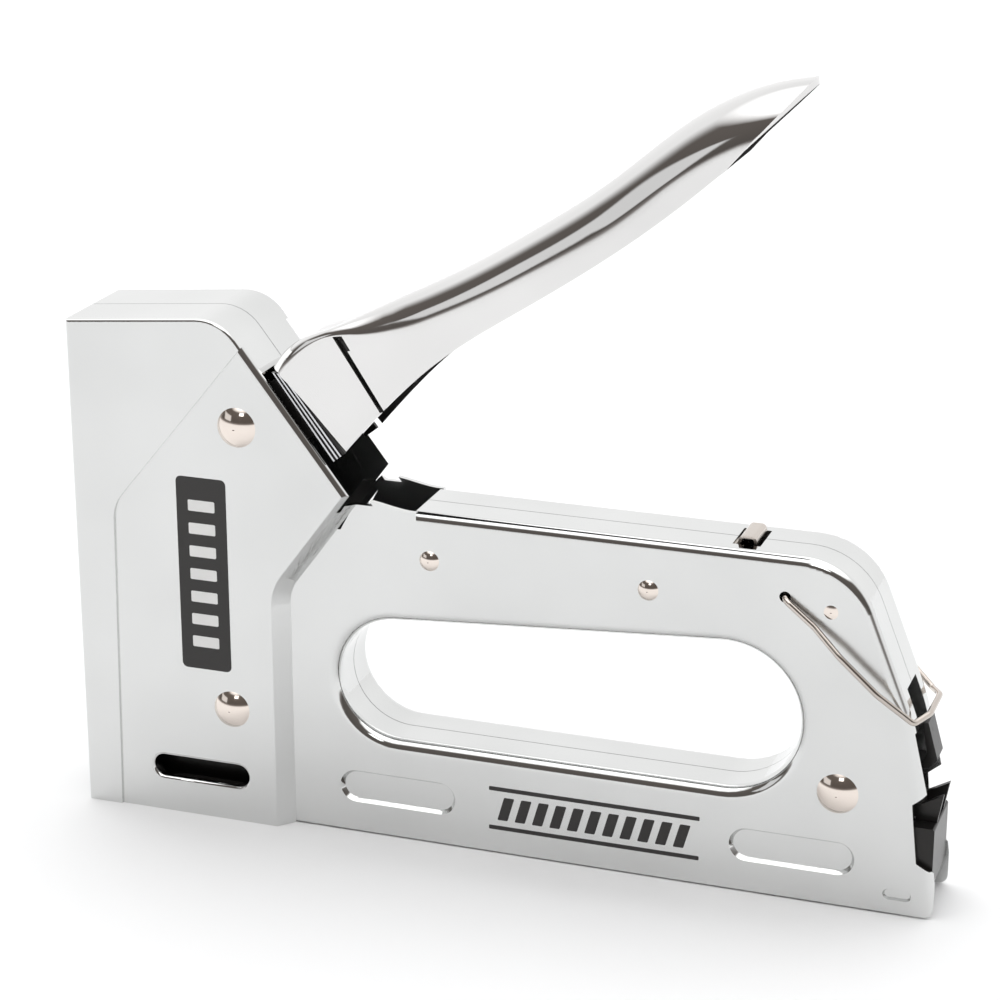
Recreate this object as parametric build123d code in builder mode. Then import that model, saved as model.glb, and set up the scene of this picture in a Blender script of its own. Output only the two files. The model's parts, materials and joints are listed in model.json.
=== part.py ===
from build123d import *

import os
from math import sqrt

# A heavy-duty hand stapler: two stamped steel shells riveted together around a sprung hammer,
# a squeeze lever, a magazine along the base and a wire bail that locks the lever for storage.
# X runs from the nose to the rear, Y across the tool and Z up. The origin is on the ground,
# midway along the tool. Every length is in millimetres.

os.makedirs("parts", exist_ok=True)

# ---------------------------------------------------------------- driving dimensions

overall_length = 190.1
steel = 1.2                # thickness of the shells' sheet
head_half = 12.5           # the head's side face to the centre plane
strip_proud = 0.5          # the front strip stands this far outside the head's side face
handle_half = 9.0          # the handle's side face to the centre plane
base_gap = 0.4             # the handle's lower edge clears the ground
top_z = 75.6               # top of the handle
throat_x = 75.6            # where the handle's top plate begins
nose = -overall_length / 2


def side(x, z):
    """A place on the side view: x behind the nose, z above the ground."""
    return (nose + x, z)


# the head's side outline, from the nose's foot round the top and down the slope to the step
head_outline = [
    side(0, 0), side(0, 111.5), side(35.8, 114.8), side(64.9, 76.9), side(48.6, 54.8), side(48.6, 0),
]
head_radii = [0, 0, 10, 0, 9, 0]
step_run = 3.0             # the ramp from the head's face down to the handle's face
emboss_line = [side(40.2, 108.6), side(9.4, 71.0), side(8.1, 0)]

# the handle's side outline, clockwise from inside the head
handle_outline = [
    side(30, base_gap),
    side(30, 70),
    side(throat_x, 70),
    side(throat_x, top_z),
    side(170.8, top_z),
    side(183.9, 42.5),
    side(187.6, 27),
    side(189.9, 9),
    side(189.9, base_gap),
]
handle_radii = [0, 0, 0, 0, 16, 40, 40, 0, 2]

# the finger opening is the hull of two circles
grip_front, grip_front_radius = side(72.95, 36.65), 13.65
grip_rear, grip_rear_radius = side(144.5, 39.1), 16.1

edge_radius = 2.0          # pressed edge along the handle's top and rear
grip_edge_radius = 2.6     # rolled edge round the finger opening
slope_edge_radius = 1.6
nose_edge_radius = 0.7

# pivots and rivets, on the side view
lever_pivot = side(38.8, 91.3)
head_rivet_at = side(35.6, 26.6)
rear_rivet_at = side(169.2, 25.5)
handle_rivets_at = [side(80.5, 65.3), side(128.2, 64.8)]
spacer_pin_at = side(166.3, 64.9)
bail_pivot = side(156.8, 67.0)
big_shaft, big_head, big_dome = 3.0, 4.35, 1.6
small_shaft, small_head, small_dome = 1.4, 2.2, 0.9
running_gap = 0.05         # radial clearance where a piece turns or slides on a shaft

seam = 0.08                # each shell stops this short of the centre plane

# pressings, windows and slots in the shells
pads_at, pad_length, pad_height, pad_depth = [side(72.7, 10.9), side(160.0, 10.9)], 26.6, 7.5, 1.0
window_at, window_length, window_height = side(27.6, 10.6), 24.0, 6.4
slope_slot_outline = [     # the lever swings down through this slot
    side(45.7, 104.9), side(43.2, 101.8), side(57.2, 77.0), side(58.0, 74.2), side(61.3, 74.5),
    side(62.3, 76.0), side(68, 76.0),
]
stop_x = 147.5             # the sprung stop in the handle's top
foot_slot_at, foot_slot_length, foot_slot_height = side(182.4, 4.6), 6.0, 2.4

# the hammer and what drives it
hammer_x = 13.2            # the hammer's axis behind the nose
hammer_half = 7.4
hammer_low, hammer_high = 52.0, 92.2
hammer_front, hammer_rear = 3.6, 22.4
well_radius = 6.1          # the hammer's bore for the main spring
well_floor = 56.0
lug_z, lug_radius, lug_reach = 89.6, 2.5, 9.3
seat_low, seat_high = 108.2, 110.9
main_spring_wire, main_spring_mean = 2.1, 4.75
toe_at, toe_radius = side(14.0, 83.5), 3.0
blade_front, blade_half = 2.5, 5.2

# the lever: a stamped channel that follows a crest line
lever_half = 11.0
lever_steel = 1.5
lever_shoulder = 6.0
lever_crest = [
    side(46.3, 106.3), side(56.8, 112.2), side(70, 119.1), side(86, 127.3), side(101, 136.5),
    side(117.5, 148.0), side(133.5, 161.1), side(142.3, 166.2), side(151, 169.3), side(157.5, 170.7),
]
lever_foot = side(63.2, 87.5)         # the lowest corner of the side wall
lever_edge = [side(75, 101.7), side(87.8, 112.9), side(100, 121.2), side(117.9, 133.3), side(135.1, 146.8)]
lever_heel, lever_tip = side(142.3, 153.2), side(154.7, 167)
relief_middle, relief_angle, relief_length, relief_width = side(67.4, 102.2), -56.5, 20.5, 1.5
arm_inner, arm_outer = 7.8, lever_half - lever_steel

# the magazine, its rail and the pusher
magazine_half, magazine_steel, magazine_height = 6.6, 0.9, 15.5
magazine_front, magazine_rear = 4.2, 183.5
rail_half, rail_top = 3.8, 11.7
staple_half, staple_wire, staple_top, staple_foot = 5.3, 1.25, 12.9, 2.9
strip_front, strip_rear = 3.9, 64.0
follower_front, follower_rear = 64.2, 76.0
rod_z, rod_radius, rod_front, rod_rear = 17.4, 1.5, 60.0, 186.0
pusher_spring_wire, pusher_spring_mean = 0.7, 2.4
block_front, block_rear, block_half, block_top = 184.6, 189.2, 7.5, 19.8
ear_inner, ear_outer = 2.8, 4.0

# the latch: a prong drops into the keeper plate in front of the pusher's handle
latch_half = 3.0
keeper_front, keeper_low, keeper_high = 178.5, 20.6, 23.4
prong_front, prong_rear, prong_foot, prong_half = 180.8, 182.6, 21.4, 2.2
prong_swing = 0.9           # room behind the prong, which moves back as it lifts
bail_wire = 0.65


def on_side(point, y=0.0):
    """A point of the side view as a place in space, y across the tool."""
    return (point[0], y, point[1])


def across(point):
    """The line through a point of the side view that runs across the tool."""
    return Axis(on_side(point), (0, 1, 0))


def rod_plane(point, y=0.0):
    """A plane that faces across the tool, centred on a point of the side view."""
    return Plane(origin=on_side(point, y), x_dir=(1, 0, 0), z_dir=(0, -1, 0))


def save(piece, name):
    """Labels a finished piece and writes it."""
    piece.part.label = name
    export_step(piece.part, f"parts/{name}.step")


# ---------------------------------------------------------------- shells


def half_body(inset):
    """Half of the casing as a solid, from the centre plane to the near side, drawn in all round by inset."""
    with BuildPart() as body:
        with BuildSketch(Plane.XZ):
            with BuildLine():
                FilletPolyline(handle_outline, radius=handle_radii, close=True)
            make_face()
            if inset:
                offset(amount=-inset)
        extrude(amount=handle_half - inset)
        with BuildSketch(Plane.XZ):
            with BuildLine():
                FilletPolyline(head_outline, radius=head_radii, close=True)
            make_face()
            if inset:
                offset(amount=-inset)
        extrude(amount=head_half - inset)
        face = body.faces().sort_by(Axis.Y)[0]
        ramp = face.edges().filter_by(lambda e: e.center().X > nose + 46.5 and 5 < e.center().Z < 77)
        chamfer(ramp, length=step_run, length2=head_half - handle_half - 0.05, reference=face)
    return body


def grip_hole(growth):
    """The finger opening, grown all round."""
    with BuildPart() as hole:
        with BuildSketch(Plane.XZ):
            with Locations(grip_front):
                Circle(grip_front_radius + growth)
            with Locations(grip_rear):
                Circle(grip_rear_radius + growth)
            make_hull()
        extrude(amount=handle_half + 1, both=True)
    return hole


def hollow_body():
    """The space inside one shell: the half body and its finger opening, one thickness of sheet inwards."""
    with BuildPart() as hollow:
        add(half_body(steel).part)
        add(grip_hole(steel).part, mode=Mode.SUBTRACT)
    return hollow


def front_strip():
    """The proud strip along the nose, bounded behind by the embossed line."""
    with BuildPart() as strip:
        with BuildSketch(Plane.XZ):
            with BuildLine():
                FilletPolyline(head_outline, radius=head_radii, close=True)
            make_face()
            with BuildSketch(Plane.XZ, mode=Mode.INTERSECT):
                with BuildLine():
                    FilletPolyline(
                        emboss_line + [side(-5, 0), side(-5, 125), side(53.6, 125)],
                        radius=[0, 9, 0, 0, 0, 0],
                        close=True,
                    )
                make_face()
        extrude(amount=head_half + strip_proud)
    return strip


hollow = hollow_body()

with BuildPart() as left_shell:
    add(half_body(0).part)
    add(grip_hole(0).part, mode=Mode.SUBTRACT)
    # the rolled edge round the finger opening and the pressed edges of the handle and head
    on_handle_side = left_shell.faces().filter_by(lambda f: abs(f.center().Y + handle_half) < 0.01)
    side_face = on_handle_side.sort_by(SortBy.AREA)[-1]
    fillet(side_face.inner_wires()[0].edges(), grip_edge_radius)
    pressed = left_shell.edges().filter_by(
        lambda e: abs(e.center().Y + handle_half) < 0.01
        and e.center().X > 0
        and e.bounding_box().min.Z > 26
        and (e.center().Z > 60 or e.center().X > nose + 170)
    )
    fillet(pressed, edge_radius)
    slope_edge = left_shell.edges().filter_by(
        lambda e: abs(e.center().Y + head_half) < 0.01 and 45 < e.center().X - nose < 60 and e.center().Z > 90
    )
    fillet(slope_edge, slope_edge_radius)
    add(front_strip().part)
    rim = left_shell.edges().filter_by(
        lambda e: abs(e.center().Y + head_half + strip_proud) < 0.01
        and e.length > 5
        and (e.center().X < nose + 1 or e.center().Z > 112)
    )
    fillet(rim, nose_edge_radius)
    # the hollow inside leaves one thickness of sheet all round
    add(hollow.part, mode=Mode.SUBTRACT)
    # the base is open for the magazine, and the rear is open below the bail
    with BuildSketch(Plane.XZ) as open_base:
        with Locations(side(100, 0)):
            Rectangle(2 * 100, 2 * 3)
    extrude(amount=handle_half - steel, mode=Mode.SUBTRACT)
    with BuildSketch(Plane.XZ) as open_head_base:
        with BuildLine():
            Polyline(side(steel, -1), side(44.5, -1), side(44.5, 3), side(steel, 3), close=True)
        make_face()
    extrude(amount=head_half - steel, mode=Mode.SUBTRACT)
    with BuildSketch(Plane.XZ) as open_rear:
        with Locations(side(186, 20)):
            Rectangle(10, 2 * 20.5)
    extrude(amount=handle_half - steel, mode=Mode.SUBTRACT)
    with BuildSketch(Plane.XZ) as latch_gap:
        with Locations(side(186, 40)):
            Rectangle(14, 2 * 8.5)
    extrude(amount=latch_half + 1.2, mode=Mode.SUBTRACT)
    # the throat, where the lever's arms go in, and the slot down the slope
    with BuildSketch(Plane.XZ) as throat:
        with BuildLine():
            Polyline(
                side(57, 67), side(throat_x + 1.5, 67), side(throat_x + 1.5, 78), side(57, 78), close=True,
            )
        make_face()
    extrude(amount=handle_half - steel, mode=Mode.SUBTRACT)
    with BuildSketch(Plane.XZ.offset(handle_half)) as throat_wall:
        with BuildLine():
            lip = Spline(side(64.4, 77.2), side(67.5, 77.0), side(71.8, 76.2), side(throat_x + 2, top_z))
            Polyline(lip @ 1, side(throat_x + 2, 69), side(60.0, 69), lip @ 0)
        make_face()
    extrude(amount=-steel)
    with BuildSketch(Plane.XZ) as slope_slot:
        with BuildLine():
            Polyline(*slope_slot_outline, close=True)
        make_face()
    extrude(amount=lever_half + 0.35, mode=Mode.SUBTRACT)
    # the notch that bares the pusher's handle
    with BuildSketch(Plane.XZ.offset(handle_half)) as thumb_notch:
        with BuildLine():
            Polyline(
                side(192, 10.2), side(189.7, 10.2), side(186.0, 12.3), side(185.0, 21.3), side(184.6, 25.3),
                side(187.6, 27.8), side(192, 28.4), close=True,
            )
        make_face()
    extrude(amount=-2 * steel, mode=Mode.SUBTRACT)
    # long pads pressed inwards to steady the magazine
    with BuildSketch(Plane.XZ.offset(handle_half - steel)) as pad_backs:
        with Locations(*pads_at):
            SlotOverall(pad_length, pad_height)
    extrude(amount=-pad_depth)
    with BuildSketch(Plane.XZ.offset(handle_half)) as pads:
        with Locations(*pads_at):
            SlotOverall(pad_length, pad_height)
    extrude(amount=-pad_depth, taper=35, mode=Mode.SUBTRACT)
    # the staple window, the slot at the rear foot, the bail's bore and the rivets' bores
    with BuildSketch(Plane.XZ.offset(head_half)) as window:
        with Locations(window_at):
            SlotOverall(window_length, window_height)
    extrude(amount=-2 * steel, mode=Mode.SUBTRACT)
    with BuildSketch(Plane.XZ.offset(handle_half)) as foot_slot:
        with Locations(foot_slot_at):
            SlotOverall(foot_slot_length, foot_slot_height)
    extrude(amount=-steel / 2, taper=30, mode=Mode.SUBTRACT)
    with BuildSketch(Plane.XZ) as bores:
        with Locations(lever_pivot, head_rivet_at, rear_rivet_at):
            Circle(big_shaft + 0.02)
        with Locations(*handle_rivets_at, spacer_pin_at):
            Circle(small_shaft + 0.02)
        with Locations(bail_pivot):
            Circle(bail_wire + 0.55)
    extrude(amount=head_half + 2, mode=Mode.SUBTRACT)
    # the window for the stop in the handle's top
    with BuildSketch(Plane.XY.offset(top_z - 3)) as stop_window:
        with Locations((nose + stop_x, 0)):
            Rectangle(5.8, 2 * 4.9)
    extrude(amount=6, mode=Mode.SUBTRACT)
    # the flanges of the two shells stop just short of each other
    with BuildSketch(Plane.XZ) as seam_cut:
        with Locations((0, 60)):
            Rectangle(2 * overall_length, 200)
    extrude(amount=seam, mode=Mode.SUBTRACT)
save(left_shell, "left_shell")

with BuildPart() as right_shell:
    mirror(left_shell.part, about=Plane.XZ)
save(right_shell, "right_shell")

# ---------------------------------------------------------------- rivets, pins and spacers


def rivets(places, shaft, head, dome, grip):
    """Domed rivets across the tool: a shaft through both shells, with a spherical cap on each side."""
    ball = (head**2 + dome**2) / (2 * dome)
    knee = head * 0.7
    knee_rise = sqrt(ball**2 - knee**2) - (ball - dome)
    with BuildPart() as group:
        for place in places:
            with BuildSketch(Plane(origin=on_side(place), x_dir=(1, 0, 0), z_dir=(0, 0, 1))):
                with BuildLine():
                    Line((0, -grip - dome), (0, grip + dome))
                    ThreePointArc((0, grip + dome), (knee, grip + knee_rise), (head, grip))
                    Polyline((head, grip), (shaft, grip), (shaft, -grip), (head, -grip))
                    ThreePointArc((head, -grip), (knee, -grip - knee_rise), (0, -grip - dome))
                make_face()
            revolve(axis=across(place))
    return group


def sleeves(places, bore, outside, reach, start=0.0):
    """Tubes across the tool; one centred tube at each place, or a pair when start is given."""
    with BuildPart() as group:
        for place in places:
            with BuildSketch(rod_plane(place)):
                Circle(outside)
                Circle(bore, mode=Mode.SUBTRACT)
            if start:
                extrude(amount=reach, both=True)
                with BuildSketch(rod_plane(place)):
                    Circle(outside + 1)
                extrude(amount=start, both=True, mode=Mode.SUBTRACT)
            else:
                extrude(amount=reach, both=True)
    return group


save(rivets([lever_pivot], big_shaft, big_head, big_dome, head_half), "pivot_rivet")
save(rivets([head_rivet_at], big_shaft, big_head - 0.2, big_dome, head_half), "head_rivet")
save(rivets([rear_rivet_at], big_shaft, big_head, big_dome, handle_half), "rear_rivet")
save(rivets(handle_rivets_at, small_shaft, small_head, small_dome, handle_half), "handle_rivets")
save(rivets([spacer_pin_at], small_shaft, small_shaft + 0.1, 0.25, handle_half), "spacer_pin")
save(sleeves([lever_pivot], big_shaft + 0.02, 4.6, arm_inner - 0.2), "pivot_bushing")
washer_reach = head_half - steel - 0.1
save(sleeves([lever_pivot], big_shaft + 0.02, 6.0, washer_reach, arm_outer + 0.15), "pivot_washers")
save(sleeves([head_rivet_at], big_shaft + 0.02, 5.0, head_half - steel - 0.05), "head_spacer")
save(sleeves(handle_rivets_at, small_shaft + 0.02, 3.0, handle_half - steel - 0.05), "handle_spacers")

# ---------------------------------------------------------------- lever

with BuildPart() as lever:
    with BuildLine() as crest_line:
        crest = Spline(*[on_side(p) for p in lever_crest])
    with BuildSketch(Plane(origin=crest @ 0, x_dir=(0, 1, 0), z_dir=crest % 0)) as channel:
        Rectangle(2 * lever_half, 30, align=(Align.CENTER, Align.MAX))
        fillet(channel.vertices().group_by(Axis.Y)[-1], lever_shoulder)
        with BuildSketch(mode=Mode.SUBTRACT) as channel_inside:
            with Locations((0, -lever_steel)):
                Rectangle(2 * (lever_half - lever_steel), 30, align=(Align.CENTER, Align.MAX))
            fillet(channel_inside.vertices().group_by(Axis.Y)[-1], lever_shoulder - lever_steel)
    sweep()
    with BuildSketch(Plane.XZ) as trim:
        with BuildLine():
            lower = Spline(lever_foot, *lever_edge, lever_heel)
            Polyline(
                lower @ 1, lever_tip, side(162, 175.2), side(120, 180), side(30, 120), side(43, 104),
                side(47.8, 104.6), side(49.2, 105.6), lever_foot,
            )
        make_face()
    extrude(amount=lever_half + 5, both=True, mode=Mode.INTERSECT)
    with BuildSketch(Plane.XZ) as relief:
        with Locations(relief_middle):
            Rectangle(relief_length, relief_width, rotation=relief_angle)
    extrude(amount=lever_half + 5, both=True, mode=Mode.SUBTRACT)
save(lever, "lever")

with BuildPart() as lever_arm:
    # two plates inside the lever's walls, each from the lifting toe over the pivot and up the lever
    with BuildSketch(Plane.XZ) as arm_front:
        with Locations(toe_at):
            Circle(toe_radius)
        with Locations(lever_pivot):
            Circle(7.0)
        make_hull()
    extrude(amount=arm_outer, both=True)
    with BuildSketch(Plane.XZ) as arm_rear:
        with Locations(lever_pivot):
            Circle(7.0)
        with Locations(side(50, 94)):
            Circle(6.0)
        with Locations(side(66, 103.5)):
            Circle(4.6)
        make_hull()
    extrude(amount=arm_outer, both=True)
    with BuildSketch(Plane.XZ) as between_arms:
        with Locations((0, 90)):
            Rectangle(2 * overall_length, 100)
    extrude(amount=arm_inner, both=True, mode=Mode.SUBTRACT)
    with BuildSketch(Plane.XZ) as web:
        with Locations(side(60, 102.5)):
            Rectangle(9, 2, rotation=28)
    extrude(amount=arm_inner + 0.5, both=True)
    with BuildSketch(Plane.XZ) as arm_bore:
        with Locations(lever_pivot):
            Circle(big_shaft + running_gap)
    extrude(amount=lever_half, both=True, mode=Mode.SUBTRACT)
save(lever_arm, "lever_arm")


def coil_spring(mean, wire, pitch, height, centre, direction, leg=0.0):
    """A round-wire spring wound on a helix, with straight legs when leg is given."""
    with BuildPart() as coil:
        with BuildLine() as wire_line:
            turns = Helix(pitch, height, mean, center=centre, direction=direction)
            if leg:
                Line(turns @ 0 - (turns % 0) * leg, turns @ 0)
                Line(turns @ 1, turns @ 1 + (turns % 1) * leg)
        start = wire_line.wires()[0] if leg else turns
        with BuildSketch(Plane(origin=start @ 0, z_dir=start % 0)):
            Circle(wire / 2)
        sweep(path=start)
    return coil


save(coil_spring(5.5, 1.2, 1.5, 9.0, on_side(lever_pivot, -4.5), (0, 1, 0), leg=6.0), "lever_spring")

# ---------------------------------------------------------------- hammer and its guides


def block(x_range, y_half, z_range, chamfer_size=0.0):
    """A plain block between two distances behind the nose and two heights, centred across the tool."""
    with BuildPart() as solid:
        with BuildSketch(Plane.XY.offset(z_range[0])):
            with Locations((nose + (x_range[0] + x_range[1]) / 2, 0)):
                Rectangle(x_range[1] - x_range[0], 2 * y_half)
        extrude(amount=z_range[1] - z_range[0])
        if chamfer_size:
            chamfer(solid.edges().filter_by(Axis.Y), chamfer_size)
    return solid


with BuildPart() as hammer:
    add(block((hammer_front, hammer_rear), hammer_half, (hammer_low, hammer_high), 1.0).part)
    with BuildSketch(Plane.XY.offset(well_floor)) as well:
        with Locations((nose + hammer_x, 0)):
            Circle(well_radius)
    extrude(amount=hammer_high, mode=Mode.SUBTRACT)
    for way in (1, -1):
        with BuildSketch(rod_plane(side(hammer_x, lug_z), way * (well_radius + 0.1))):
            Circle(lug_radius)
        extrude(amount=-way * (lug_reach - well_radius - 0.1))
save(hammer, "hammer")

with BuildPart() as driver_blade:
    add(block((blade_front, hammer_front), blade_half, (0.5, hammer_high - 6)).part)
    # a window lightens the blade, and its foot is ground to a bevel
    with BuildSketch(Plane.YZ.offset(nose)) as blade_window:
        with Locations((0, 34)):
            SlotOverall(20, 4, rotation=90)
    extrude(amount=10, mode=Mode.SUBTRACT)
save(driver_blade, "driver_blade")

spring_room = seat_low - well_floor - main_spring_wire - 0.2
spring_foot = (nose + hammer_x, 0, well_floor + main_spring_wire / 2 + 0.1)
main_spring_pitch = spring_room / 10
save(
    coil_spring(main_spring_mean, main_spring_wire, main_spring_pitch, spring_room, spring_foot, (0, 0, 1)),
    "main_spring",
)

with BuildPart() as spring_seat:
    add(block((5.5, 21.0), head_half - steel - 0.1, (seat_low, seat_high - 0.2)).part)
    with BuildSketch(Plane.XY.offset(seat_low)) as boss:
        with Locations((nose + hammer_x, 0)):
            Circle(3.3)
    extrude(amount=-5.5)
save(spring_seat, "spring_seat")

save(block((5.0, 21.4), 6.8, (46.3, 51.7), 0.8), "bumper")

with BuildPart() as bumper_bracket:
    add(block((4.4, 26.0), head_half - steel - 0.1, (38.0, 46.3)).part)
    add(block((4.3, 26.1), head_half - 2.6, (37.0, 44.2)).part, mode=Mode.SUBTRACT)
save(bumper_bracket, "bumper_bracket")

save(block((22.8, 24.0), 7.0, (46.3, 107.6)), "hammer_guide")
save(block((1.3, 2.3), 8.0, (0.1, 46.0)), "nose_plate")
save(block((3.9, 7.0), 8.0, (16.0, 44.2)), "blade_guide")

# ---------------------------------------------------------------- magazine

with BuildPart() as magazine_channel:
    add(block((magazine_front, magazine_rear), magazine_half, (0, magazine_height)).part)
    channel_inside = magazine_half - magazine_steel
    add(
        block((magazine_front - 1, magazine_rear + 1), channel_inside, (magazine_steel, 40)).part,
        mode=Mode.SUBTRACT,
    )
save(magazine_channel, "magazine_channel")

save(block((magazine_front, magazine_rear - 0.5), rail_half, (magazine_steel, rail_top)), "staple_rail")

with BuildPart() as staple_strip:
    add(block((strip_front, strip_rear), staple_half, (staple_foot, staple_top)).part)
    add(
        block((strip_front - 1, strip_rear + 1), staple_half - staple_wire, (0, rail_top + 0.3)).part,
        mode=Mode.SUBTRACT,
    )
save(staple_strip, "staple_strip")

with BuildPart() as follower:
    add(block((follower_front, follower_rear), 5.4, (1.4, 14.2)).part)
    add(block((0, overall_length), rail_half + 0.25, (0, rail_top + 0.3)).part, mode=Mode.SUBTRACT)
    add(block((follower_front, follower_front + 6), 3.0, (14.2, rod_z + 2.6)).part)
    with BuildSketch(Plane.YZ) as rod_bore:
        with Locations((0, rod_z)):
            Circle(rod_radius + running_gap)
    extrude(amount=overall_length, both=True, mode=Mode.SUBTRACT)
save(follower, "follower")

with BuildPart() as pusher_rod:
    with BuildSketch(Plane.YZ.offset(nose + rod_front)) as rod_end:
        with Locations((0, rod_z)):
            Circle(rod_radius)
    extrude(amount=rod_rear - rod_front)
    with BuildSketch(Plane.YZ.offset(nose + rod_front)) as rod_head:
        with Locations((0, rod_z)):
            Circle(rod_radius + 0.7)
    extrude(amount=1.5)
save(pusher_rod, "pusher_rod")

spring_start = follower_front + 6 + pusher_spring_wire / 2 + 0.1
spring_length = block_front - spring_start - pusher_spring_wire / 2 - 0.1
spring_front = (nose + spring_start, 0, rod_z)
pusher_spring_pitch = spring_length / 28
save(
    coil_spring(
        pusher_spring_mean, pusher_spring_wire, pusher_spring_pitch, spring_length, spring_front, (1, 0, 0)
    ),
    "pusher_spring",
)

with BuildPart() as pusher_handle:
    # a broad thumb block below, a pair of flared ears above it and a keeper plate in front
    with BuildSketch(Plane.XZ) as thumb_block:
        with BuildLine():
            FilletPolyline(
                side(block_front, 3.6), side(187.4, 3.6), side(block_rear, 6.6), side(block_rear, block_top),
                side(block_front, block_top), radius=[0, 1, 1, 0.6, 0], close=True,
            )
        make_face()
    extrude(amount=block_half, both=True)
    with BuildSketch(Plane.XZ) as ears:
        with BuildLine():
            Polyline(
                side(block_front, block_top - 1), side(188.8, block_top - 1), side(overall_length, 26.0),
                side(block_front, 22.9), close=True,
            )
        make_face()
    extrude(amount=ear_outer, both=True)
    with BuildSketch(Plane.XZ) as between_ears:
        with BuildLine():
            Polyline(
                side(block_front, block_top), side(overall_length + 1, block_top),
                side(overall_length + 1, 28), side(block_front, 28), close=True,
            )
        make_face()
    extrude(amount=ear_inner, both=True, mode=Mode.SUBTRACT)
    add(block((keeper_front, block_front + 1), ear_outer, (keeper_low, keeper_high)).part)
    keeper_hole = block(
        (prong_front - 0.3, prong_rear + prong_swing), prong_half + 0.3, (keeper_low - 1, keeper_high + 1)
    )
    add(keeper_hole.part, mode=Mode.SUBTRACT)
    with BuildSketch(Plane.YZ.offset(nose + block_front - 1)) as rod_socket:
        with Locations((0, rod_z)):
            Circle(rod_radius)
    extrude(amount=rod_rear - block_front + 1, mode=Mode.SUBTRACT)
save(pusher_handle, "pusher_handle")

with BuildPart() as latch_lever:
    with BuildSketch(Plane.XZ) as latch_arm:
        with Locations(rear_rivet_at):
            Circle(4.6)
        with Locations(side(181.7, 30.6)):
            Circle(1.8)
        make_hull()
    extrude(amount=latch_half, both=True)
    with BuildSketch(Plane.XZ) as finger_tab:
        with BuildLine():
            Polyline(
                side(181.5, 31.0), side(186.6, 31.3), side(188.2, 33.4), side(186.0, 41.2), side(184.8, 41.0),
                side(186.0, 34.6), side(185.2, 32.4), side(181.5, 32.3), close=True,
            )
        make_face()
    extrude(amount=latch_half, both=True)
    add(block((prong_front, prong_rear), prong_half, (prong_foot, 30.0)).part)
    with BuildSketch(Plane.XZ) as latch_bore:
        with Locations(rear_rivet_at):
            Circle(big_shaft + running_gap)
    extrude(amount=latch_half + 1, both=True, mode=Mode.SUBTRACT)
save(latch_lever, "latch_lever")
save(coil_spring(3.9, 0.8, 0.95, 2.4, on_side(rear_rivet_at, -6.4), (0, 1, 0), leg=5.0), "latch_spring")

# ---------------------------------------------------------------- lock bail and lever stop

bail_half = [
    (bail_pivot, -6.6), (bail_pivot, -10.1), (side(163.5, 61.8), -10.6), (side(169, 56.8), -12.1),
    (side(177, 49.7), -12.2), (side(184.2, 43.6), -9.9), (side(186.6, 44.3), -5.2),
]
bail_route = [on_side(p, y) for p, y in bail_half] + [on_side(p, -y) for p, y in reversed(bail_half)]
bail_bends = [1.6, 6, 6, 6, 1.3, 3.0]
with BuildPart() as lock_bail:
    with BuildLine() as bail_line:
        FilletPolyline(*bail_route, radius=bail_bends + bail_bends[::-1])
    with BuildSketch(rod_plane(bail_pivot, -6.6)) as bail_section:
        Circle(bail_wire)
    sweep()
save(lock_bail, "lock_bail")

with BuildPart() as stop_tab:
    with BuildSketch(Plane.XZ) as stop_profile:
        with BuildLine() as stop_line:
            FilletPolyline(
                side(134, 74.0), side(145.4, 74.0), side(146.2, 77.0), side(149.0, 77.0), side(149.8, 73.2),
                radius=0.8,
            )
        trace(line_width=0.6)
    extrude(amount=4.2, both=True)
save(stop_tab, "stop_tab")
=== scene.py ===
# %% [markdown]
# # A hand-squeezed staple gun
#
# The tool is two stamped steel shells, riveted together and chrome plated, round a sprung hammer.
# A pressed lever rises behind the head, a magazine runs along the base and a wire bail hangs at the
# rear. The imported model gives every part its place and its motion. This lesson gives them their
# looks: it loads that model, sets a small white studio round it, makes the plated and blackened
# finishes, and remakes the few pieces whose surfaces need more care than a machined solid has.

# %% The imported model
import json

import bpy
import numpy as np
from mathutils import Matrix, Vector


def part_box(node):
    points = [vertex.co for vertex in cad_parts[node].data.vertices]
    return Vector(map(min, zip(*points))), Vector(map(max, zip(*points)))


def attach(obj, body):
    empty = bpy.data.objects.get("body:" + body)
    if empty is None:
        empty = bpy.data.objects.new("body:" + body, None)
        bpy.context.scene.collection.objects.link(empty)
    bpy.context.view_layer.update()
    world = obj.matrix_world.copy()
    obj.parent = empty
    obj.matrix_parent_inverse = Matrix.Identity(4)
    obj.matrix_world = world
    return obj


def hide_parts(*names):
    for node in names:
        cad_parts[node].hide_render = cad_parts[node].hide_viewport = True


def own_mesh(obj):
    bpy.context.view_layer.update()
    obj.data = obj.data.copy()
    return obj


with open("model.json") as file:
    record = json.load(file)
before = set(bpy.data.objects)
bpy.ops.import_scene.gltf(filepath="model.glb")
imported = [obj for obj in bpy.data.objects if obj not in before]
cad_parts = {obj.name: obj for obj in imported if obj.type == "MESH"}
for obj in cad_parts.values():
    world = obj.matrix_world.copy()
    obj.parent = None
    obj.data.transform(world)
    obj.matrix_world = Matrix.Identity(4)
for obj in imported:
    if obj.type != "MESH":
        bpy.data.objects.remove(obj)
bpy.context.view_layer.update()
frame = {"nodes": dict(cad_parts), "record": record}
nodes = frame["nodes"]
mm = 0.001
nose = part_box("left_shell")[0].x


def place(x, z):
    """A point of the side view: x millimetres behind the nose, z millimetres above the ground, in metres."""
    return (nose + x * mm, z * mm)


# %% [markdown]
# ## The camera
#
# A product picture of a long flat tool is taken with a long lens from a little above, a little to
# the rear of the middle. The long lens keeps the tool's parallel edges nearly parallel.

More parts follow.
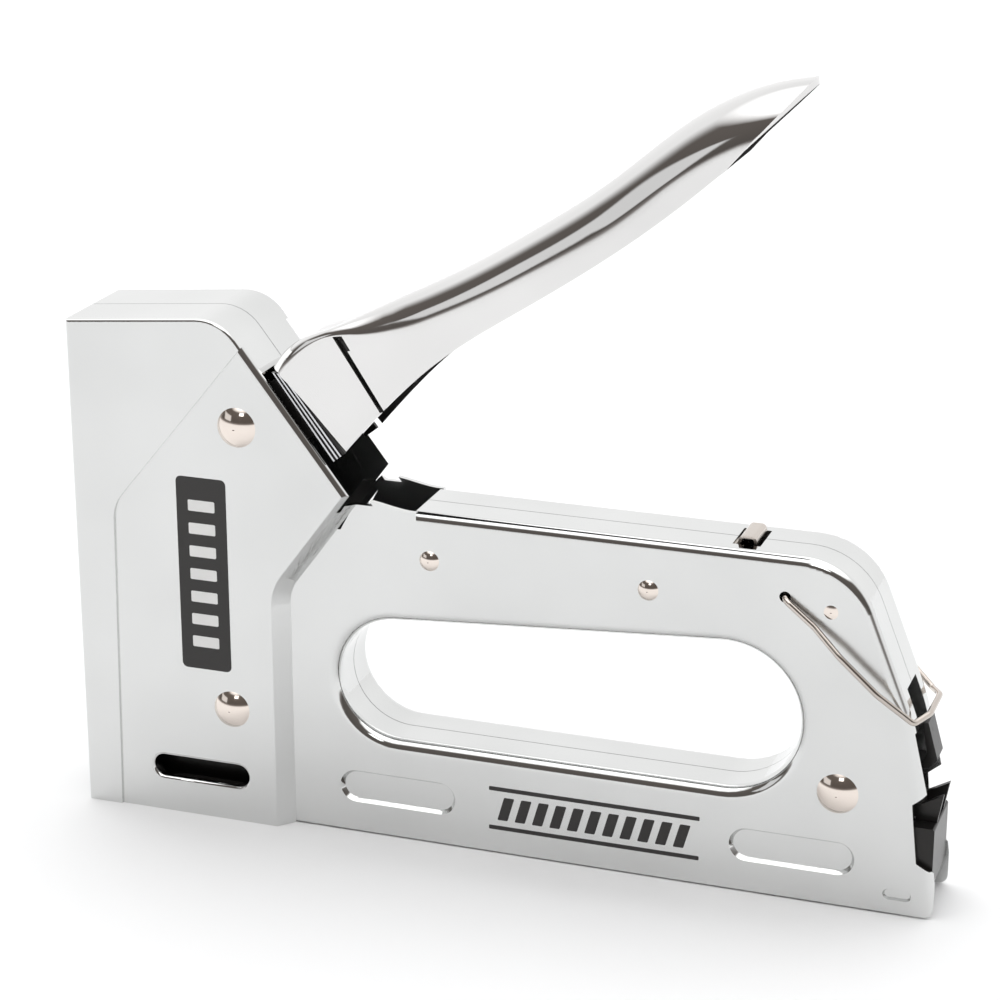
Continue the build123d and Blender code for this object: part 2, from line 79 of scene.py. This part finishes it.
# %% Camera
camera_data = bpy.data.cameras.new("camera")
camera_data.lens = 100.76
camera_data.sensor_width = 36.0
camera_data.clip_start = 0.01
camera = bpy.data.objects.new("camera", camera_data)
camera.location = (nose + 0.2750, -0.52265, 0.27094)
turn, tilt = 0.335, 0.3365
camera.rotation_euler = (np.pi / 2 - tilt, 0.0, turn)
bpy.context.scene.collection.objects.link(camera)
bpy.context.scene.camera = camera
bpy.context.scene.view_settings.view_transform = "Standard"
print("camera", tuple(round(c, 3) for c in camera.location))

# %% [markdown]
# ## The studio
#
# Chrome has hardly any colour of its own, so what it shows is the room. A white table and a white
# back wall make it read as bright metal, and the dark side of the room, above the camera, draws the
# dark lines along its rounded edges. The world is that room: pale behind, dark above the camera,
# and bright overhead. The camera itself sees a plain pale background.


# %% Helpers for node trees
def add_node(tree, kind, inputs=None, **settings):
    """Adds a node, sets its properties, and sets or links its inputs by name or index."""
    node = tree.nodes.new(kind)
    for name, value in settings.items():
        setattr(node, name, value)
    for key, value in (inputs or {}).items():
        socket = node.inputs[key]
        if isinstance(value, bpy.types.NodeSocket):
            tree.links.new(value, socket)
        else:
            socket.default_value = value
    return node


def ramp(tree, value, stops):
    """A colour ramp that turns a value into greys or colours; each stop is (position, colour)."""
    node = add_node(tree, "ShaderNodeValToRGB", {"Fac": value})
    elements = node.color_ramp.elements
    while len(elements) < len(stops):
        elements.new(0.5)
    for element, (position, colour) in zip(elements, stops):
        element.position = position
        element.color = colour if len(colour) == 4 else (*colour, 1.0)
    return node.outputs["Color"]


def grey(level):
    """A neutral colour."""
    return (level, level, level)


# %% World
world = bpy.data.worlds.new("studio")
bpy.context.scene.world = world
world.use_nodes = True
sky = world.node_tree
sky.nodes.clear()
direction = add_node(sky, "ShaderNodeTexCoord").outputs["Generated"]
part = add_node(sky, "ShaderNodeSeparateXYZ", {0: direction})
height = add_node(sky, "ShaderNodeMapRange", {"Value": part.outputs["Z"], "From Min": -1.0}).outputs[0]
behind = add_node(
    sky, "ShaderNodeMapRange", {"Value": part.outputs["Y"], "From Min": -0.25, "From Max": 0.25},
    interpolation_type="SMOOTHSTEP",
).outputs[0]
overhead = 1.75
room_brightness = 1.14
camera_side = ramp(sky, height, [
    (0.0, grey(0.9)), (0.50, grey(0.9)), (0.525, (0.26, 0.24, 0.23)), (0.57, (0.10, 0.09, 0.083)),
    (0.84, (0.13, 0.115, 0.105)), (0.91, grey(overhead)), (1.0, grey(overhead)),
])
wall_side = ramp(sky, height, [
    (0.0, grey(0.95)), (0.5, grey(0.95)), (0.66, grey(1.0)), (0.84, grey(0.95)), (0.92, grey(overhead)),
    (1.0, grey(overhead)),
])
room = add_node(
    sky, "ShaderNodeMix", {"Factor": behind, 6: camera_side, 7: wall_side}, data_type="RGBA",
).outputs[2]


def window(x, z, half_width, half_height, brightness):
    """A soft bright window on the camera's side of the room, centred on a direction's x and z."""
    edges = []
    for value, centre, half in ((part.outputs["X"], x, half_width), (part.outputs["Z"], z, half_height)):
        away = add_node(sky, "ShaderNodeMath", {0: value, 1: centre}, operation="SUBTRACT").outputs[0]
        distance = add_node(sky, "ShaderNodeMath", {0: away}, operation="ABSOLUTE").outputs[0]
        edges.append(add_node(
            sky, "ShaderNodeMapRange",
            {"Value": distance, "From Min": half * 1.15, "From Max": half * 0.85},
            interpolation_type="SMOOTHSTEP",
        ).outputs[0])
    both = add_node(sky, "ShaderNodeMath", {0: edges[0], 1: edges[1]}, operation="MULTIPLY").outputs[0]
    front = add_node(sky, "ShaderNodeMath", {0: 1.0, 1: behind}, operation="SUBTRACT").outputs[0]
    mask = add_node(sky, "ShaderNodeMath", {0: both, 1: front}, operation="MULTIPLY").outputs[0]
    return add_node(
        sky, "ShaderNodeMix", {"Factor": mask, 6: room, 7: (*grey(brightness), 1.0)}, data_type="RGBA",
    ).outputs[2]


# a bright one that the domed rivets catch, and a weak one off to the nose's side
room = window(0.05, 0.62, 0.13, 0.07, 2.6)
room = window(-0.72, 0.30, 0.16, 0.14, 0.75)
backdrop = (0.96, 0.965, 0.97, 1.0)
seen_directly = add_node(sky, "ShaderNodeLightPath").outputs["Is Camera Ray"]
shown = add_node(
    sky, "ShaderNodeMix", {"Factor": seen_directly, 6: room, 7: backdrop}, data_type="RGBA",
).outputs[2]
background = add_node(sky, "ShaderNodeBackground", {"Color": shown, "Strength": room_brightness})
output = add_node(sky, "ShaderNodeOutputWorld", {"Surface": background.outputs[0]})


# %% Floor
floor_half = 3.0
floor_mesh = bpy.data.meshes.new("floor")
floor_corners = [(x, y, 0.0) for x, y in ((-1, -1), (1, -1), (1, 1), (-1, 1))]
floor_mesh.from_pydata([Vector(c) * floor_half for c in floor_corners], [], [(0, 1, 2, 3)])
floor = bpy.data.objects.new("floor", floor_mesh)
bpy.context.scene.collection.objects.link(floor)
floor_paint = bpy.data.materials.new("pale_floor")
floor_paint.use_nodes = True
floor_shader = floor_paint.node_tree.nodes["Principled BSDF"]
floor_shader.inputs["Base Color"].default_value = (0.93, 0.935, 0.94, 1.0)
floor_shader.inputs["Roughness"].default_value = 0.7
floor_shader.inputs["Specular IOR Level"].default_value = 0.2
floor_mesh.materials.append(floor_paint)
print("studio ready")

# %% [markdown]
# ## Marks that plated steel carries
#
# No plated sheet is perfectly even. The rolled sheet's grain shows faintly through the chrome, hands
# leave soft smudges that dull the gloss in patches, and use leaves hair scratches. Each effect is
# a node group with its own scale, so every finish can use it at its own strength.


# %% Effect groups
def effect_group(name, inputs, outputs):
    """A shader node group with named float inputs and outputs, and its two end nodes."""
    group = bpy.data.node_groups.new(name, "ShaderNodeTree")
    for title, value in inputs.items():
        socket = group.interface.new_socket(title, in_out="INPUT", socket_type="NodeSocketFloat")
        socket.default_value = value
    for title in outputs:
        group.interface.new_socket(title, in_out="OUTPUT", socket_type="NodeSocketFloat")
    start = group.nodes.new("NodeGroupInput")
    end = group.nodes.new("NodeGroupOutput")
    return group, start, end


def object_place(tree, stretch=(1.0, 1.0, 1.0), turn=(0.0, 0.0, 0.0)):
    """Object coordinates, turned and stretched."""
    coordinates = add_node(tree, "ShaderNodeTexCoord").outputs["Object"]
    return add_node(
        tree, "ShaderNodeMapping", {"Vector": coordinates, "Scale": stretch, "Rotation": turn},
    ).outputs[0]


# rolled_grain: noise drawn out along Z, so it reads as the fine upright grain of rolled sheet
rolled_grain, start, end = effect_group("rolled_grain", {"Scale": 900.0}, ["Grain", "Cloud"])
fine = add_node(
    rolled_grain, "ShaderNodeTexNoise",
    {"Vector": object_place(rolled_grain, (1.0, 1.0, 0.12)), "Scale": start.outputs["Scale"], "Detail": 3.0},
)
cloud = add_node(
    rolled_grain, "ShaderNodeTexNoise",
    {"Vector": object_place(rolled_grain), "Scale": 28.0, "Detail": 2.0, "Roughness": 0.55},
)
rolled_grain.links.new(fine.outputs[0], end.inputs["Grain"])
rolled_grain.links.new(cloud.outputs[0], end.inputs["Cloud"])

# handling: smudges are the upper part of a soft noise, scratches the thin crests of a stretched wave
handling, start, end = effect_group("handling", {"Size": 55.0}, ["Smudge", "Scratch"])
patches = add_node(
    handling, "ShaderNodeTexNoise",
    {"Vector": object_place(handling), "Scale": start.outputs["Size"], "Detail": 4.0, "Roughness": 0.62},
)
smudge = add_node(
    handling, "ShaderNodeMapRange", {"Value": patches.outputs[0], "From Min": 0.52, "From Max": 0.74},
)
lines = add_node(
    handling, "ShaderNodeTexNoise",
    {"Vector": object_place(handling, (0.12, 1.0, 1.0), (0.0, 0.5, 0.0)), "Scale": 620.0, "Detail": 1.0},
)
scratch = add_node(
    handling, "ShaderNodeMapRange", {"Value": lines.outputs[0], "From Min": 0.69, "From Max": 0.76},
)
handling.links.new(smudge.outputs[0], end.inputs["Smudge"])
handling.links.new(scratch.outputs[0], end.inputs["Scratch"])
print("effects:", [g.name for g in bpy.data.node_groups])

# %% [markdown]
# ## Finishes
#
# Each finish is one Principled shader. Its base colour and metal are plain values, and its roughness
# and bump come from the effects. The shells are satin on their broad flat sides, where the sheet was
# never polished, and mirror bright round every pressed edge, where the die burnished it, so their
# roughness follows how squarely a face looks across the tool.


# %% Finish builder
def mix_values(tree, amount, low, high):
    """A value between low and high by amount, each a number or a socket."""
    return add_node(tree, "ShaderNodeMapRange", {"Value": amount, "To Min": low, "To Max": high}).outputs[0]


def finish(name, colour, metal, gloss, dull, bump=0.02, flat_gloss=None, shade=0.06):
    """A metal or paint: gloss and dull are the roughness of clean and handled places, shade is how much
    the colour varies, and flat_gloss, when given, is the roughness where a face looks across the tool."""
    paint = bpy.data.materials.new(name)
    paint.use_nodes = True
    tree = paint.node_tree
    shader = tree.nodes["Principled BSDF"]
    grain = add_node(tree, "ShaderNodeGroup", node_tree=rolled_grain)
    marks = add_node(tree, "ShaderNodeGroup", node_tree=handling, inputs=None)
    clean = gloss
    if flat_gloss is not None:
        facing = add_node(tree, "ShaderNodeTexCoord").outputs["Normal"]
        across = add_node(tree, "ShaderNodeSeparateXYZ", {0: facing}).outputs["Y"]
        squarely = add_node(tree, "ShaderNodeMath", {0: across}, operation="ABSOLUTE").outputs[0]
        flat = add_node(
            tree, "ShaderNodeMapRange", {"Value": squarely, "From Min": 0.965, "From Max": 0.998},
            interpolation_type="SMOOTHSTEP",
        ).outputs[0]
        clean = mix_values(tree, flat, gloss, flat_gloss)
    cloudy = add_node(
        tree, "ShaderNodeMath", {0: grain.outputs["Cloud"], 1: 0.5}, operation="MULTIPLY",
    ).outputs[0]
    patchy = add_node(
        tree, "ShaderNodeMath", {0: marks.outputs["Smudge"], 1: cloudy}, operation="MULTIPLY",
    ).outputs[0]
    worn = add_node(
        tree, "ShaderNodeMath", {0: marks.outputs["Scratch"], 1: 0.25, 2: patchy}, operation="MULTIPLY_ADD",
    ).outputs[0]
    rough = mix_values(tree, worn, clean, dull)
    tree.links.new(rough, shader.inputs["Roughness"])
    low = tuple(c * (1.0 - shade) for c in colour)
    tint = ramp(tree, grain.outputs["Cloud"], [(0.35, low), (0.65, colour)])
    tree.links.new(tint, shader.inputs["Base Color"])
    relief = add_node(
        tree, "ShaderNodeBump",
        {"Height": grain.outputs["Grain"], "Strength": bump, "Distance": 0.0002},
    )
    tree.links.new(relief.outputs[0], shader.inputs["Normal"])
    shader.inputs["Metallic"].default_value = metal
    return paint


# %% Finishes by slot
finishes = {
    "chrome_shell": finish("satin_chrome", (0.705, 0.71, 0.705), 1.0, 0.06, 0.30, 0.04, flat_gloss=0.24),
    "lever_chrome": finish("polished_chrome", (0.74, 0.735, 0.73), 1.0, 0.045, 0.20, 0.01, flat_gloss=0.16),
    "rivet_nickel": finish("polished_nickel", (0.82, 0.74, 0.68), 1.0, 0.09, 0.25, 0.01),
    "black_oxide": finish("black_oxide", (0.030, 0.028, 0.027), 0.55, 0.30, 0.55, 0.08, shade=0.4),
    "tool_steel": finish("ground_steel", (0.50, 0.50, 0.51), 1.0, 0.28, 0.45, 0.10, shade=0.2),
    "spring_steel": finish("drawn_wire", (0.66, 0.60, 0.55), 1.0, 0.16, 0.32, 0.04, shade=0.2),
    "zinc_plate": finish("zinc_plate", (0.70, 0.71, 0.73), 1.0, 0.24, 0.42, 0.06, shade=0.2),
    "staple_wire": finish("galvanised_wire", (0.62, 0.62, 0.63), 1.0, 0.30, 0.45, 0.10, shade=0.2),
    "rubber": finish("bumper_rubber", (0.022, 0.022, 0.022), 0.0, 0.62, 0.80, 0.15, shade=0.3),
}
for entry in frame["record"]["subparts"]:
    mesh = nodes[entry["node"]].data
    for index in range(len(mesh.materials)):
        mesh.materials[index] = finishes[entry["material_slot"]]
print("finishes:", sorted(finishes))

# %% [markdown]
# ## The lever
#
# The real lever is one pressing: a channel whose crest rises in a long S from the head to the tip,
# with walls that end in an open lower edge. Its shoulders are tight where it leaves the head and
# grow until the whole section is round at the tip. A swept solid keeps one shoulder radius, so the
# lever is worked out again as a surface of two parameters, and Solidify gives it the sheet's
# thickness.


# %% Curves through a few points
def smooth_curve(points, count):
    """Points evenly spaced along a natural cubic spline through the given points.

    The spline's parameter is the distance along the straight runs. Its second derivatives solve the
    usual tridiagonal system with zero at both ends.
    """
    points = np.asarray(points, float)
    knots = np.concatenate([[0.0], np.cumsum(np.linalg.norm(np.diff(points, axis=0), axis=1))])
    gaps = np.diff(knots)
    size = len(points)
    system = np.eye(size)
    right = np.zeros_like(points)
    inner = np.arange(1, size - 1)
    system[inner, inner - 1] = gaps[:-1]
    system[inner, inner] = 2 * (gaps[:-1] + gaps[1:])
    system[inner, inner + 1] = gaps[1:]
    slopes = np.diff(points, axis=0) / gaps[:, None]
    right[inner] = 6 * np.diff(slopes, axis=0)
    bend = np.linalg.solve(system, right)

    def at(t):
        k = np.clip(np.searchsorted(knots, t, side="right") - 1, 0, size - 2)
        h = gaps[k][:, None]
        a = (knots[k + 1] - t)[:, None]
        b = (t - knots[k])[:, None]
        return (bend[k] * a**3 + bend[k + 1] * b**3) / (6 * h) + (
            points[k] / h - bend[k] * h / 6) * a + (points[k + 1] / h - bend[k + 1] * h / 6) * b

    dense = np.linspace(0.0, knots[-1], 2000)
    run = np.concatenate([[0.0], np.cumsum(np.linalg.norm(np.diff(at(dense), axis=0), axis=1))])
    return at(np.interp(np.linspace(0.0, run[-1], count), run, dense))


def new_piece(name, vertices, faces, slot, body, smooth=True):
    """A mesh object from arrays, in metres, with its finish, riding on a body."""
    mesh = bpy.data.meshes.new(name)
    mesh.from_pydata(np.asarray(vertices).tolist(), [], np.asarray(faces).tolist())
    mesh.materials.append(finishes[slot])
    mesh.polygons.foreach_set("use_smooth", np.full(len(mesh.polygons), smooth))
    mesh.update()
    piece = bpy.data.objects.new(name, mesh)
    bpy.context.scene.collection.objects.link(piece)
    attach(piece, body)
    return piece


# %% Lever surface
lever_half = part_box("lever")[1].y
lever_steel = 1.5 * mm
along_count = 200
crest = smooth_curve([place(*p) for p in (
    (45.3, 103.8), (47.9, 107.4), (51.8, 110.7), (56.8, 113.1), (62.5, 115.5), (70, 119.1), (86, 127.3),
    (101, 136.5), (117.5, 148.0), (133.5, 161.1), (142.3, 166.2), (151, 169.3), (157.5, 170.6),
)], along_count)
lower = smooth_curve([place(*p) for p in (
    (63.0, 88.2), (75, 101.7), (87.8, 112.9), (100, 121.2), (117.9, 133.3), (135.1, 146.8),
    (142.3, 153.2))], along_count)
share = np.linspace(0.0, 1.0, along_count)
# the rows lean back at the slit, so that it runs more steeply than the head's slope
slit_share, slit_lean = 0.137, 0.020
lean = slit_lean * (share / slit_share * np.exp(1 - share / slit_share)) ** 2
lower = np.stack([np.interp(share - lean, share, lower[:, k]) for k in (0, 1)], axis=-1)
shoulder = np.interp(share, [0.0, 0.06, 0.11, 0.14, 0.20, 0.27, 0.45, 0.65, 0.85, 1.0],
                     [4.2, 3.2, 1.3, 1.3, 4.8, 6.8, 7.9, 8.8, 10.2, 10.8]) * mm
shoulder = np.convolve(np.pad(shoulder, 5, mode="edge"), np.ones(11) / 11, mode="valid")

# across the section: a flat top, a quarter round, and a wall down to the lower edge
top_count, round_count, wall_count = 6, 14, 10
reach = np.linalg.norm(lower - crest, axis=1)
down = (lower - crest) / reach[:, None]
tangent = np.gradient(crest, axis=0)
tangent /= np.linalg.norm(tangent, axis=1)[:, None]
skew = np.abs(tangent[:, 0] * down[:, 1] - tangent[:, 1] * down[:, 0])
crown = 0.35 * mm
flat = np.linspace(0.0, 1.0, top_count, endpoint=False)[None, :] * (lever_half - shoulder)[:, None]
angle = np.linspace(0.0, np.pi / 2, round_count)[None, :]
arc_y = (lever_half - shoulder)[:, None] + shoulder[:, None] * np.sin(angle)
drop = shoulder / skew
arc_depth = drop[:, None] * (1 - np.cos(angle)) + crown * (flat[:, -1:] / lever_half) ** 2
flat_depth = crown * (flat / lever_half) ** 2
fall = np.linspace(0.0, 1.0, wall_count + 1)[1:][None, :]
wall_depth = arc_depth[:, -1:] + (reach[:, None] - arc_depth[:, -1:]) * fall
half_y = np.concatenate([flat, arc_y, np.full_like(wall_depth, lever_half)], axis=1)
half_depth = np.concatenate([flat_depth, arc_depth, wall_depth], axis=1)

# the walls start a little behind the crest's front edge, parallel to the head's slope
set_back = 1.6 * mm * np.clip(1 - share / 0.12, 0, 1)[:, None] ** 2
part_down = np.clip(half_depth / reach[:, None], 0, 1)
set_back = set_back * np.sin(np.pi * part_down**0.45)
y = np.concatenate([-half_y[:, :0:-1], half_y], axis=1)
depth = np.concatenate([half_depth[:, :0:-1], half_depth], axis=1)
back = np.concatenate([set_back[:, :0:-1], set_back], axis=1)
x = crest[:, :1] + down[:, :1] * depth + tangent[:, :1] * back
z = crest[:, 1:] + down[:, 1:] * depth + tangent[:, 1:] * back
lever_points = np.stack([x, y, z], axis=-1)


# %% Lever mesh
def grid_faces(rows, columns, keep=None):
    """Quads of a grid of rows by columns of points; keep, when given, is a mask of the quads to make."""
    corner = np.arange(rows * columns).reshape(rows, columns)
    quads = np.stack([corner[:-1, :-1], corner[1:, :-1], corner[1:, 1:], corner[:-1, 1:]], axis=-1)
    return quads[keep] if keep is not None else quads.reshape(-1, 4)


rows, columns = y.shape
keep = np.ones((rows - 1, columns - 1), bool)
slit_row = int(round(slit_share * (rows - 1)))
half_columns = half_y.shape[1]
wall_start = top_count + round_count
for first, last in ((0, half_columns - wall_start), (columns - 1 - (half_columns - wall_start), columns - 1)):
    keep[slit_row:slit_row + 2, first:last] = False
barb = half_columns - wall_start
keep[slit_row + 2, barb - 2:barb] = False
keep[slit_row + 2, columns - 1 - barb:columns + 1 - barb] = False
lever_skin = new_piece(
    "lever_pressing", lever_points.reshape(-1, 3), grid_faces(rows, columns, keep), "lever_chrome", "lever",
)
thickness = lever_skin.modifiers.new("sheet", "SOLIDIFY")
thickness.thickness = lever_steel
thickness.offset = -1.0
thickness.use_even_offset = True
# the inside of the pressing takes the black finish: painted shade for the channel's dark inside
thickness.material_offset = 1
thickness.material_offset_rim = 0
lever_skin.data.materials.append(finishes["black_oxide"])
soft_edges = lever_skin.modifiers.new("soft_edges", "BEVEL")
soft_edges.width = 0.18 * mm
soft_edges.segments = 2
soft_edges.limit_method = "ANGLE"
soft_edges.angle_limit = np.radians(50)
weigh = lever_skin.modifiers.new("even_shading", "WEIGHTED_NORMAL")
weigh.keep_sharp = True
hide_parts("lever")

# a black sheet a little below the wall's outer face fills the slit: painted shade for its dark inside
slit_depth = 1.15 * mm
slit_shade_points = lever_points * [1.0, 1.0 - slit_depth / lever_half, 1.0]
slit_painted_shade = new_piece(
    "lever_slit_painted_shade", slit_shade_points.reshape(-1, 3), grid_faces(rows, columns, ~keep), "black_oxide", "lever",
)
backing = slit_painted_shade.modifiers.new("sheet", "SOLIDIFY")
backing.thickness = 0.25 * mm
print("lever surface", rows, "by", columns)


# %% The flanges in front of the lever's arms
def prism(outline, low, high):
    """Points and faces of a four-cornered side-view outline, anticlockwise, drawn from y low to y high."""
    points = [(x, y, z) for y in (low, high) for x, z in outline]
    sides = [((k + 1) % 4, k, 4 + k, 4 + (k + 1) % 4) for k in range(4)]
    return points, [(0, 1, 2, 3), (7, 6, 5, 4), *sides]


def merged(solids):
    """The points and faces of several solids, as one list of each."""
    points, faces = [], []
    for solid_points, solid_faces in solids:
        faces += [[corner + len(points) for corner in face] for face in solid_faces]
        points += solid_points
    return points, faces


flange_low = ((59.3, 85.0), (62.1, 87.2))
flange_high = ((45.9, 103.3), (49.2, 103.3))
flange_inner, flange_outer = 8.7 * mm, 9.6 * mm
rib_inner, rib_outer, rib_share = flange_outer - 0.1 * mm, 9.95 * mm, 0.11


def strip(start, end):
    """The part of the flange between two shares of its width, as an outline."""
    at_low = [np.add(flange_low[0], np.subtract(flange_low[1], flange_low[0]) * t) for t in (start, end)]
    at_high = [np.add(flange_high[0], np.subtract(flange_high[1], flange_high[0]) * t) for t in (end, start)]
    return [place(*p) for p in at_low + at_high]


for sign, side_name in ((-1, "near"), (1, "far")):
    plate = prism(strip(0.0, 1.0), *sorted((sign * flange_inner, sign * flange_outer)))
    new_piece(f"lever_flange_{side_name}", *plate, "black_oxide", "lever", smooth=False)
    ribs = merged([
        prism(strip(at, at + rib_share), *sorted((sign * rib_inner, sign * rib_outer)))
        for at in (0.12, 0.40, 0.66)
    ])
    new_piece(f"lever_ribs_{side_name}", *ribs, "zinc_plate", "lever", smooth=False)
print("lever flanges")

# %% [markdown]
# ## The two coil springs
#
# Two coil springs get shorter when the tool moves: the power spring under its seat, as the hammer
# rises, and the pusher's spring, as a longer strip holds the follower back. Each coil here is a copy
# of its part that rides on its body at its full length. Each coil is a copy of
# its part that closes up towards its fixed end in step with the joint.


# %% Springs
def closing_spring(node, body, axis):
    """A copy of a coil, riding on a body in place of its part, with an anchor at its far end along axis."""
    low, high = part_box(node)
    coil = bpy.data.objects.new(f"{node}_coil", nodes[node].data.copy())
    coil.matrix_world = nodes[node].matrix_world.copy()
    bpy.context.scene.collection.objects.link(coil)
    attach(coil, body)
    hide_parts(node)
    anchor = [(a + b) / 2 for a, b in zip(low, high)]
    anchor[axis] = high[axis]
    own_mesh(coil)
    return coil


closing_spring("main_spring", "frame", 2)
closing_spring("pusher_spring", "pusher", 0)
print("springs")

# %% [markdown]
# ## The lip of the staple window
#
# The window that shows how many staples are left has its edge rolled inwards, so that the strip can't
# catch on it. The lip is a small profile, a quarter round and a short wall, carried round the
# window's outline.


# %% Window lips
def stadium(length, tall, count):
    """Points and outward directions of a slot with round ends, evenly turned round each end."""
    radius = tall / 2
    straight = length / 2 - radius
    turn = np.linspace(-np.pi / 2, np.pi / 2, count)
    right = np.stack([straight + radius * np.cos(turn), radius * np.sin(turn)], axis=-1)
    outward = np.stack([np.cos(turn), np.sin(turn)], axis=-1)
    return np.concatenate([right, -right]), np.concatenate([outward, -outward])


head_face = 12.5 * mm
window_centre = place(27.6, 10.6)
window_length, window_tall = 24.0 * mm, 6.4 * mm
lip_reach, lip_round, lip_depth, lip_sheet = 0.75 * mm, 1.0 * mm, 2.6 * mm, 0.3 * mm
rim_points, rim_out = stadium(window_length, window_tall, 24)
turn_in = np.linspace(0.0, np.pi / 2, 8)
inward = np.concatenate([lip_reach * np.sin(turn_in), [lip_reach]])
deep = np.concatenate([lip_round * (1 - np.cos(turn_in)), [lip_depth]])
for sign, side_name in ((-1, "near"), (1, "far")):
    flat_points = rim_points[:, None, :] - rim_out[:, None, :] * inward[None, :, None]
    lip_y = np.broadcast_to(sign * (head_face - deep), flat_points.shape[:2])
    lip_x, lip_z = window_centre[0] + flat_points[..., 0], window_centre[1] + flat_points[..., 1]
    lip = np.stack([lip_x, lip_y, lip_z], axis=-1)
    lip = np.concatenate([lip, lip[:1]])
    quads = grid_faces(*lip.shape[:2])
    quads = quads if sign < 0 else quads[:, ::-1]
    ring = new_piece(f"window_lip_{side_name}", lip.reshape(-1, 3), quads, "chrome_shell", "frame")
    wall = ring.modifiers.new("wall", "SOLIDIFY")
    wall.thickness = lip_sheet
    wall.offset = -1.0
print("window lips")

# %% [markdown]
# ## The label and the side marking
#
# The real tool carries printed marks on its sides. Here they are plain: a black panel with light
# bars on the head, and a row of slanting black blocks between two rules on the handle. Each
# is a layer of ink a few hundredths of a millimetre thick, so it is a very thin plate on the face.


# %% Ink
def ink(name, colour, roughness):
    """A printed ink with a faint mottle in its gloss."""
    paint = bpy.data.materials.new(name)
    paint.use_nodes = True
    tree = paint.node_tree
    shader = tree.nodes["Principled BSDF"]
    marks = add_node(tree, "ShaderNodeGroup", node_tree=handling)
    shine = mix_values(tree, marks.outputs["Smudge"], roughness, roughness + 0.18)
    tree.links.new(shine, shader.inputs["Roughness"])
    grain = add_node(tree, "ShaderNodeGroup", node_tree=rolled_grain)
    tint = ramp(tree, grain.outputs["Cloud"], [(0.3, tuple(c * 0.86 for c in colour)), (0.7, colour)])
    tree.links.new(tint, shader.inputs["Base Color"])
    return paint


finishes["ink_black"] = ink("ink_black", (0.018, 0.016, 0.015), 0.34)
finishes["ink_light"] = ink("ink_light", (0.88, 0.88, 0.87), 0.40)
ink_thickness = 0.03 * mm


def rounded_box(width, tall, radius, lean=0.0, steps=6):
    """The outline of a rectangle with round corners, centred on zero, leaning by lean of its height."""
    turns = np.linspace(0, np.pi / 2, steps)
    outline = []
    for quarter, (sx, sz) in enumerate(((1, 1), (-1, 1), (-1, -1), (1, -1))):
        a = turns + quarter * np.pi / 2
        outline.append(np.stack([
            sx * (width / 2 - radius) + radius * np.cos(a), sz * (tall / 2 - radius) + radius * np.sin(a),
        ], axis=-1))
    outline = np.concatenate(outline)
    outline[:, 0] += outline[:, 1] * lean
    return outline


def printed(name, outlines, face_y, side_sign, layer, slot):
    """Thin plates with the given outlines (x, z in metres) on the face at face_y, as one piece."""
    points, faces, base = [], [], 0
    inner_y = side_sign * (face_y + layer * ink_thickness)
    outer_y = side_sign * (face_y + (layer + 1) * ink_thickness)
    for outline in outlines:
        count = len(outline)
        for level in (inner_y, outer_y):
            points.append(np.stack([outline[:, 0], np.full(count, level), outline[:, 1]], axis=-1))
        ring = np.arange(count)
        after = (ring + 1) % count
        sides = np.stack([ring, after, after + count, ring + count], axis=-1) + base
        front = [list(ring[::-1] + base), list(ring + count + base)]
        if side_sign < 0:
            faces += sides.tolist() + front
        else:
            faces += sides[:, ::-1].tolist() + [list(f[::-1]) for f in front]
        base += 2 * count
    mesh = bpy.data.meshes.new(name)
    mesh.from_pydata(np.concatenate(points).tolist(), [], faces)
    mesh.materials.append(finishes[slot])
    mesh.update()
    piece = bpy.data.objects.new(name, mesh)
    bpy.context.scene.collection.objects.link(piece)
    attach(piece, "frame")
    return piece


def shifted(outline, centre):
    """An outline moved to a centre on the side view."""
    return outline + np.array(centre)


# %% Label and side marking
handle_face = 9.0 * mm
label_centre = place(30.0, 57.2)
label_bars, bar_pitch = 7, 5.2 * mm
marking_centre = place(117.0, 10.65)
marking_blocks, block_pitch, block_lean = 11, 3.9 * mm, 0.28
rule_heights = (15.2, 6.1)
label_panel = rounded_box(11.6 * mm, 44.0 * mm, 1.2 * mm)
label_bar = rounded_box(6.2 * mm, 2.5 * mm, 0.3 * mm)
marking_rule = rounded_box(46.6 * mm, 0.95 * mm, 0.2 * mm)
marking_block = rounded_box(2.3 * mm, 5.4 * mm, 0.25 * mm, lean=block_lean)


def from_middle(count, pitch):
    """Evenly spaced distances either side of zero."""
    return (np.arange(count) - (count - 1) / 2) * pitch


panel = [shifted(label_panel, label_centre)]
bars = [
    shifted(label_bar, (label_centre[0], label_centre[1] + up))
    for up in from_middle(label_bars, bar_pitch)
]
rules = [shifted(marking_rule, (marking_centre[0], z * mm)) for z in rule_heights]
blocks = [
    shifted(marking_block, (marking_centre[0] + along, marking_centre[1]))
    for along in from_middle(marking_blocks, block_pitch)
]
for sign, side_name in ((-1, "near"), (1, "far")):
    printed(f"label_panel_{side_name}", panel, head_face, sign, 0, "ink_black")
    printed(f"label_bars_{side_name}", bars, head_face, sign, 1, "ink_light")
    printed(f"side_marking_{side_name}", rules + blocks, handle_face, sign, 0, "ink_black")
print("markings on both sides")
